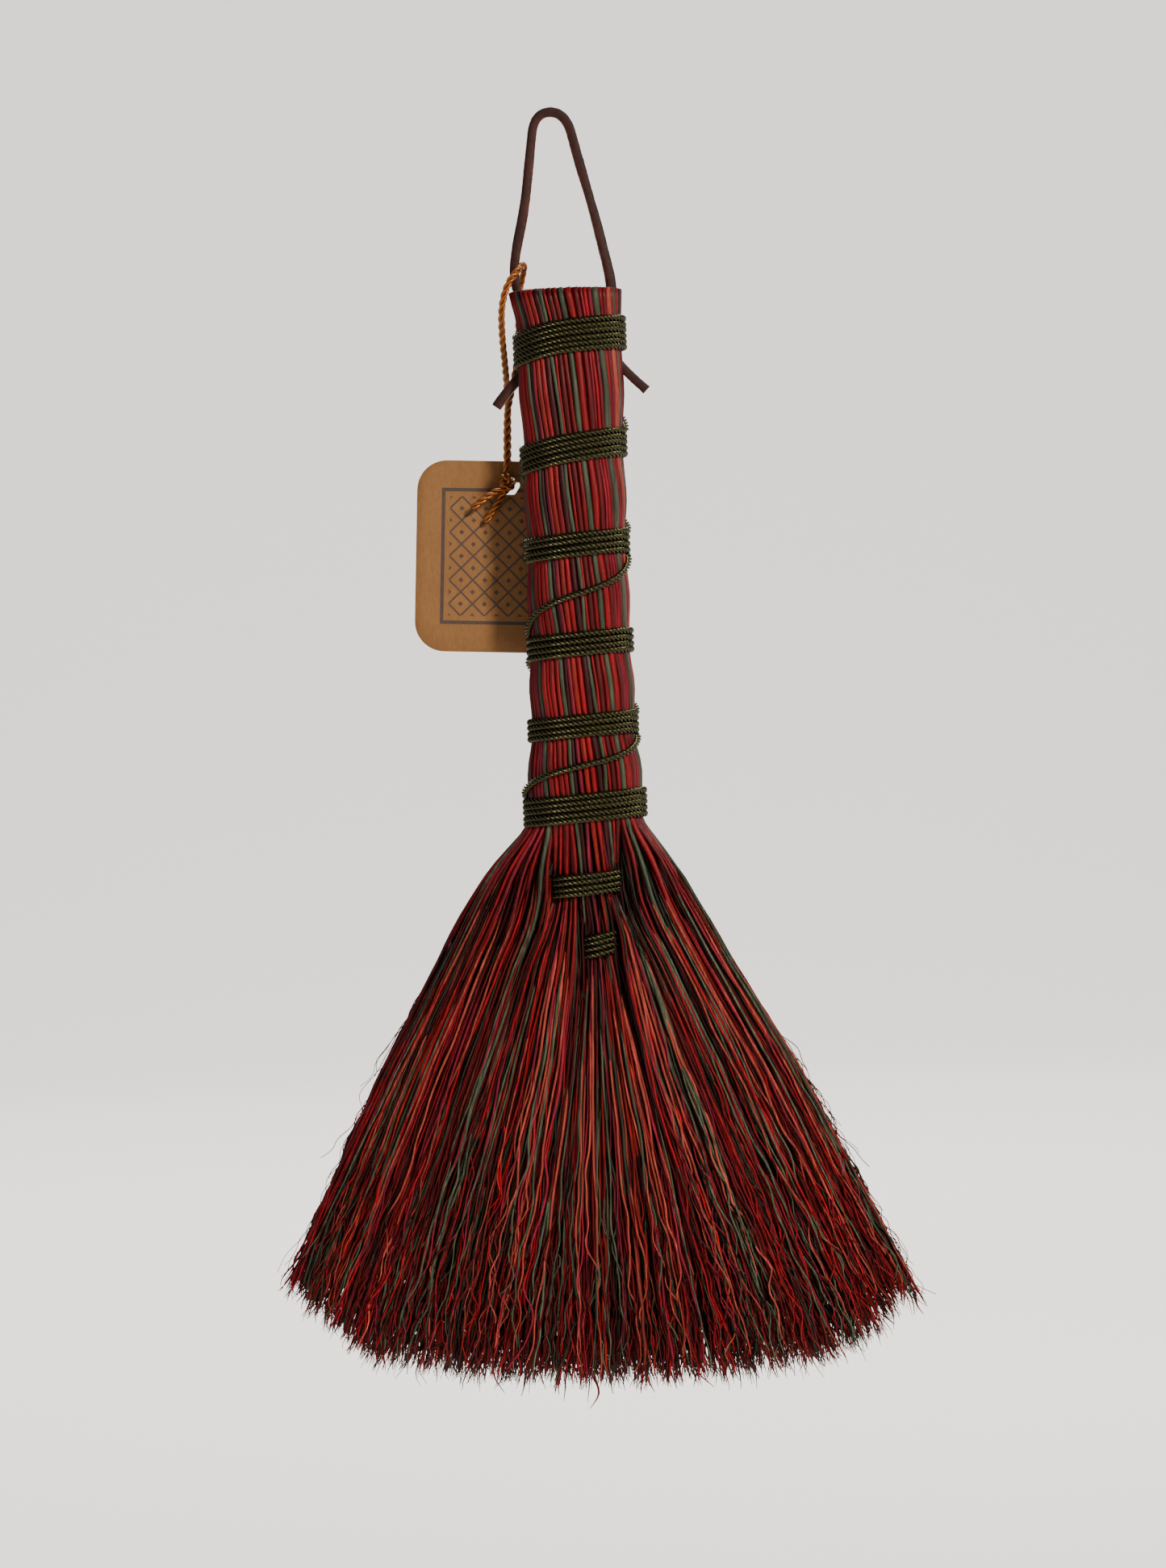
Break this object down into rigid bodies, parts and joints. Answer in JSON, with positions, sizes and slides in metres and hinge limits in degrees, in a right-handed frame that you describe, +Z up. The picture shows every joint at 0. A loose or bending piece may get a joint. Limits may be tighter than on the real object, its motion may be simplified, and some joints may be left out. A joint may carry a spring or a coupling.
{
  "type": "hand broom",
  "caption": "Hand broom of dyed broomcorn stalks bound with cord into a handle, with a leather hanging loop and a card tag on a twisted cord.",
  "frame": {"origin": "where the lace loop rests on the nail or hook that holds it up", "axes": "+Z up along the hanging broom, -Y out of its front, +X to the right seen from the front"},
  "size_m": [0.1788, 0.0319, 0.3602],
  "materials": {
    "broomcorn": "dyed plant stalks, satin sheen",
    "binding_cord": "twisted dark olive cord",
    "lace": "dark red-brown, rough at its edges",
    "tag_cord": "glossy twisted gold-brown cord",
    "tag_card": "uncoated kraft card"
  },
  "bodies": {
    "loop": {"lace_loop": "lace"},
    "broom": {"centre_bundle": "broomcorn", "flank_bundle_left": "broomcorn", "flank_bundle_right": "broomcorn", "outer_bundle_left": "broomcorn", "outer_bundle_right": "broomcorn", "tie_1": "binding_cord", "tie_2": "binding_cord", "tie_3": "binding_cord", "tie_4": "binding_cord", "tie_5": "binding_cord", "tie_6": "binding_cord", "tie_7": "binding_cord", "tie_8": "binding_cord", "crossing_1_2": "binding_cord", "crossing_2_3": "binding_cord", "crossing_3_4": "binding_cord", "crossing_4_5": "binding_cord", "crossing_5_6": "binding_cord", "lace_end_left": "lace", "lace_end_right": "lace"},
    "tag_cord": {"tag_cord": "tag_cord"},
    "tag": {"tag_cord_knot": "tag_cord", "tag_cord_tails": "tag_cord", "hang_tag": "tag_card"}
  },
  "joints": [
    {"name": "broom_swing", "type": "hinge", "parent": "loop", "child": "broom", "pos_m": [0.003, 0.0002, -0.0316], "axis": [1, 0, 0], "range_deg": [-90, 90], "deforming": ["lace_loop"]},
    {"name": "tag_swing", "type": "hinge", "parent": "broom", "child": "tag_cord", "pos_m": [-0.0094, 0.004, -0.042], "axis": [0, 1, 0], "range_deg": [0, 70]},
    {"name": "tag_turn", "type": "hinge", "parent": "tag_cord", "child": "tag", "pos_m": [-0.0159, 0.0148, -0.1022], "axis": [0, 0, 1], "range_deg": [0, 75], "deforming": ["tag_cord"]}
  ]
}
